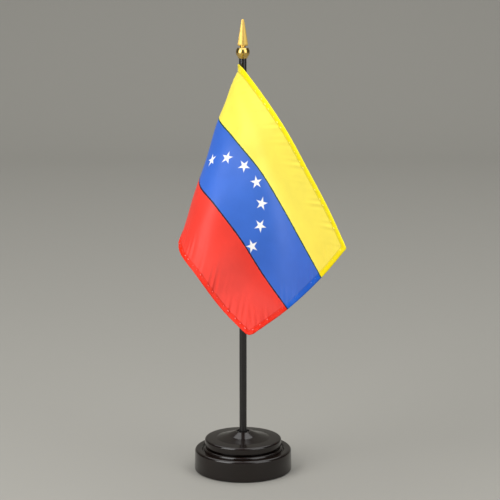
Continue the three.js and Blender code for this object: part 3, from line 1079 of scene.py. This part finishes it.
class STAND_OT_flag_sleeve(bpy.types.Operator):
    """Builds the sewn pocket round the staff that carries the flag"""

    bl_idname = "stand.flag_sleeve"
    bl_label = "Flag Sleeve"

    def execute(self, context):
        sizes = context.scene.stand_sizes
        rng = np.random.default_rng(sizes.seed + 2)
        wall = 0.3
        ring_r = STAFF_R + GAP + 0.2 + wall / 2
        reach = math.hypot(HOIST_X, HOIST_Y)
        seam_turn = math.atan2(HOIST_Y, HOIST_X)
        swing = math.acos(ring_r / reach)
        round_angles = np.linspace(seam_turn + swing, seam_turn + 2 * math.pi - swing, 61)
        circle = np.column_stack((np.cos(round_angles), np.sin(round_angles))) * ring_r
        # The lips stop short of the line where the cloth leaves.
        lip_gap = 0.18
        lip_short = 0.6
        side = np.array((-math.sin(seam_turn), math.cos(seam_turn)))
        outward = np.array((math.cos(seam_turn), math.sin(seam_turn)))
        ease = np.linspace(0, 1, 9)[:, None]
        tip = outward * (reach - lip_short)
        first = (tip + side * lip_gap) * (1 - ease) + circle[0] * ease
        last = circle[-1] * (1 - ease) + (tip - side * lip_gap) * ease
        path = np.concatenate((first[:-1], circle, last[1:]))
        run = np.concatenate(([0], np.cumsum(np.linalg.norm(np.diff(path, axis=0), axis=1))))
        across = np.gradient(path, axis=0)
        across /= np.linalg.norm(across, axis=1, keepdims=True)
        outer_side = np.column_stack((across[:, 1], -across[:, 0]))
        level = np.linspace(0, 1, 170)
        top = HOIST_TOP_Z - (path[:, 0] - SLEEVE_LOW[0]) * SLEEVE_SLOPE
        height = HOIST_FOOT_Z + level[:, None] * (top - HOIST_FOOT_Z)[None, :]
        # The pocket is looser than the staff, so its free wall buckles in shallow waves.
        loose = np.sin(math.pi * run / run[-1]) ** 2
        wave = ripple(height + 0.8 * run[None, :], 13, rng)
        bulge = 0.18 * loose[None, :] * wave
        faces_of = []
        for offset in (wall / 2, -wall / 2):
            away = (bulge + offset)[..., None] * outer_side[None]
            points = np.concatenate((path[None] + away, height[..., None]), axis=2)
            faces_of.append(points.reshape(-1, 3))
        flat = np.column_stack(
            (
                np.tile(-run, len(level)),
                (HOIST_TOP_Z - height).ravel(),
            )
        )
        vertices, faces = close_sheet(*faces_of, len(level), len(run))
        sleeve = add_piece(
            "flag_pocket",
            vertices,
            faces,
            made(printed_satin_polyester),
            flat=np.concatenate((flat, flat)),
            sharp=100,
        )
        fit(sleeve, "staff", "flag_cloth", "flag_sleeve")
        return {"FINISHED"}


def stitch_row(drape, start, stop, lift, pitch, width):
    """Vertices, faces and flat places of a row of stitches between two places on the flat cloth."""
    start, stop = np.array(start, float), np.array(stop, float)
    length = np.linalg.norm(stop - start)
    count = int(length / pitch)
    vertices, faces, flat = [], [], []
    sides = 8
    turn = np.linspace(0, 2 * math.pi, sides, endpoint=False)
    for k in range(count):
        t = (k + np.linspace(0.1, 0.9, 7)) / count
        place = start + (stop - start) * t[:, None]
        dip = np.sin(np.linspace(0, math.pi, 7))
        middle = drape.point(place[:, 0], place[:, 1], lift * (0.55 + 0.45 * dip))
        normal = drape.normal(place[:, 0], place[:, 1]) * np.sign(lift)
        run = np.gradient(middle, axis=0)
        side = np.cross(run, normal)
        side /= np.linalg.norm(side, axis=1, keepdims=True)
        thick = width * (0.45 + 0.55 * np.sqrt(dip.clip(0, 1)))
        rings = [
            middle[i]
            + thick[i] * (np.cos(turn)[:, None] * side[i] + 0.6 * np.sin(turn)[:, None] * normal[i])
            for i in range(len(t))
        ]
        ring_vertices, ring_faces = skin(rings)
        base = len(vertices) * sides * len(t)
        faces += [tuple(i + base for i in face) for face in ring_faces]
        vertices.append(ring_vertices)
        flat.append(np.repeat(place, sides, axis=0))
    return np.concatenate(vertices), faces, np.concatenate(flat)


class STAND_OT_flag_stitching(bpy.types.Operator):
    bl_idname = "stand.flag_stitching"
    bl_label = "Flag Stitching"

    def execute(self, context):
        sizes = context.scene.stand_sizes
        drape = Drape(sizes)
        inset = sizes.stitch_inset / MM
        foot, fly = FLAG_HEIGHT - inset, FLAG_LENGTH - inset
        lift = sizes.hem_thickness / MM / 2
        thread = printed_satin_polyester("dyed_sewing_thread", thread=True)
        lines = {
            "thread_sleeve": ((inset, inset), (inset, foot)),
            "thread_top_hem": ((inset + 1, inset), (fly - 0.5, inset)),
            "thread_fly_hem": ((fly, inset), (fly, foot)),
            "thread_bottom_hem": ((inset + 1, foot), (fly - 0.5, foot)),
        }
        for node, (start, stop) in lines.items():
            height = lift if node != "thread_sleeve" else lift * 0.75
            front = stitch_row(drape, start, stop, height, sizes.stitch_pitch / MM, 0.2)
            back = stitch_row(drape, start, stop, -height, sizes.stitch_pitch / MM, 0.2)
            shift = len(front[0])
            piece = add_piece(
                node.replace("thread", "stitches"),
                np.concatenate((front[0], back[0])),
                front[1] + [tuple(i + shift for i in face) for face in back[1]],
                thread,
                flat=np.concatenate((front[2], back[2])),
                sharp=80,
            )
            fit(piece, "flag", "thread", node)
        return {"FINISHED"}


# ---------------------------------------------------------------- stage


def paper_sweep(name, hex_colour):
    """Matt studio paper, pale and even, with a faint tooth."""
    material, tree, shader = new_surface(name, Roughness=0.8)
    place = add_node(tree, "ShaderNodeTexCoord").outputs["Object"]
    tooth = add_node(tree, "ShaderNodeTexNoise", {"Vector": place, "Scale": 1 / (1.5 * MM), "Detail": 3})
    shader.inputs["Base Color"].default_value = linear(hex_colour)
    plug(tree, shader, height=tooth, depth=0.02)
    return material


class STAND_OT_stage(bpy.types.Operator):
    """Builds the paper sweep, the lights and the camera"""

    bl_idname = "stand.stage"
    bl_label = "Stage"

    def execute(self, context):
        scene = context.scene
        bend = 600
        wall_y = 2100
        wall_top = 2400
        spread = 4200  # how far the paper runs to the front and to each side
        curve = [(y, 0) for y in np.linspace(-spread, wall_y - bend, 12)]
        for angle in np.radians(np.linspace(-85, 0, 18)):
            curve.append((wall_y - bend + bend * math.cos(angle), bend + bend * math.sin(angle)))
        curve += [(wall_y, z) for z in np.linspace(bend + 100, wall_top, 10)]
        vertices = [(x, y, z) for y, z in curve for x in (-spread, spread)]
        faces = [(2 * i, 2 * i + 1, 2 * i + 3, 2 * i + 2) for i in range(len(curve) - 1)]
        sweep = add_piece("studio_sweep", vertices, faces, paper_sweep("studio_paper", "#96948d"))

        world = bpy.data.worlds.new("studio_fill")
        world.use_nodes = True
        world.node_tree.nodes["Background"].inputs[0].default_value = linear("#e8eaee")
        world.node_tree.nodes["Background"].inputs[1].default_value = 0.1
        scene.world = world

        # name, place, target, width, height, power in watts
        lights = [
            ("softbox_left", (-0.74, -0.66, 0.55), (0, 0, 0.2), 0.75, 0.9, 9.5),
            ("softbox_right", (0.74, -0.66, 0.55), (0, 0, 0.2), 0.75, 0.9, 4.5),
            ("overhead_bank", (0, 0, 2.3), (0, 0, 0), 3.8, 3.8, 80),
        ]
        for name, spot, target, width, height, power in lights:
            data = bpy.data.lights.new(name, "AREA")
            data.shape = "RECTANGLE"
            data.size = width
            data.size_y = height
            data.energy = power
            lamp = bpy.data.objects.new(name, data)
            lamp.location = spot
            aim_at(lamp, target)
            scene.collection.objects.link(lamp)

        lens = bpy.data.cameras.new("camera")
        lens.lens = 124.1
        lens.sensor_width = 36
        lens.clip_start = 0.02
        camera = bpy.data.objects.new("camera", lens)
        target = (0.0045, 0, 0.145)
        distance = 1.1
        rise = math.radians(10.7)
        camera.location = (
            target[0],
            target[1] - distance * math.cos(rise),
            target[2] + distance * math.sin(rise),
        )
        aim_at(camera, target)
        scene.collection.objects.link(camera)
        scene.camera = camera
        scene.view_settings.view_transform = "Standard"
        return {"FINISHED"}


def aim_at(thing, target):
    """Turns a lamp or camera so that it looks at the target."""
    way = np.array(target) - np.array(thing.location)
    flat = math.hypot(way[0], way[1])
    thing.rotation_euler = (
        math.atan2(flat, -way[2]),
        0,
        math.atan2(way[1], way[0]) - math.pi / 2 if flat > 1e-6 else 0,
    )


# ---------------------------------------------------------------- add-on

OPERATORS = (
    STAND_OT_stage,
    STAND_OT_base_drum,
    STAND_OT_top_disc,
    STAND_OT_base_inside,
    STAND_OT_felt_pad,
    STAND_OT_staff_bush,
    STAND_OT_staff,
    STAND_OT_finial,
    STAND_OT_flag_sleeve,
    STAND_OT_flag_cloth,
    STAND_OT_flag_stitching,
)


class STAND_PT_panel(bpy.types.Panel):
    """Sizes, colours and build steps of the desk flag stand"""

    bl_label = "Desk Flag Stand"
    bl_idname = "STAND_PT_panel"
    bl_space_type = "VIEW_3D"
    bl_region_type = "UI"
    bl_category = "Flag Stand"

    def draw(self, context):
        layout = self.layout
        for group in (context.scene.stand_sizes, context.scene.stand_finish):
            box = layout.box()
            for name in group.bl_rna.properties.keys():
                if name not in {"rna_type", "name"}:
                    box.prop(group, name)
        for operator in OPERATORS:
            layout.operator(operator.bl_idname)


CLASSES = (StandSizes, StandFinish, *OPERATORS, STAND_PT_panel)


def register():
    for cls in CLASSES:
        bpy.utils.register_class(cls)
    bpy.types.Scene.stand_sizes = PointerProperty(type=StandSizes)
    bpy.types.Scene.stand_finish = PointerProperty(type=StandFinish)


def unregister():
    del bpy.types.Scene.stand_finish
    del bpy.types.Scene.stand_sizes
    for cls in reversed(CLASSES):
        bpy.utils.unregister_class(cls)


def main():
    """Builds every piece."""
    register()
    for operator in OPERATORS:
        group, name = operator.bl_idname.split(".")
        getattr(getattr(bpy.ops, group), name)()
    bpy.context.view_layer.update()


if __name__ == "__main__":
    main()
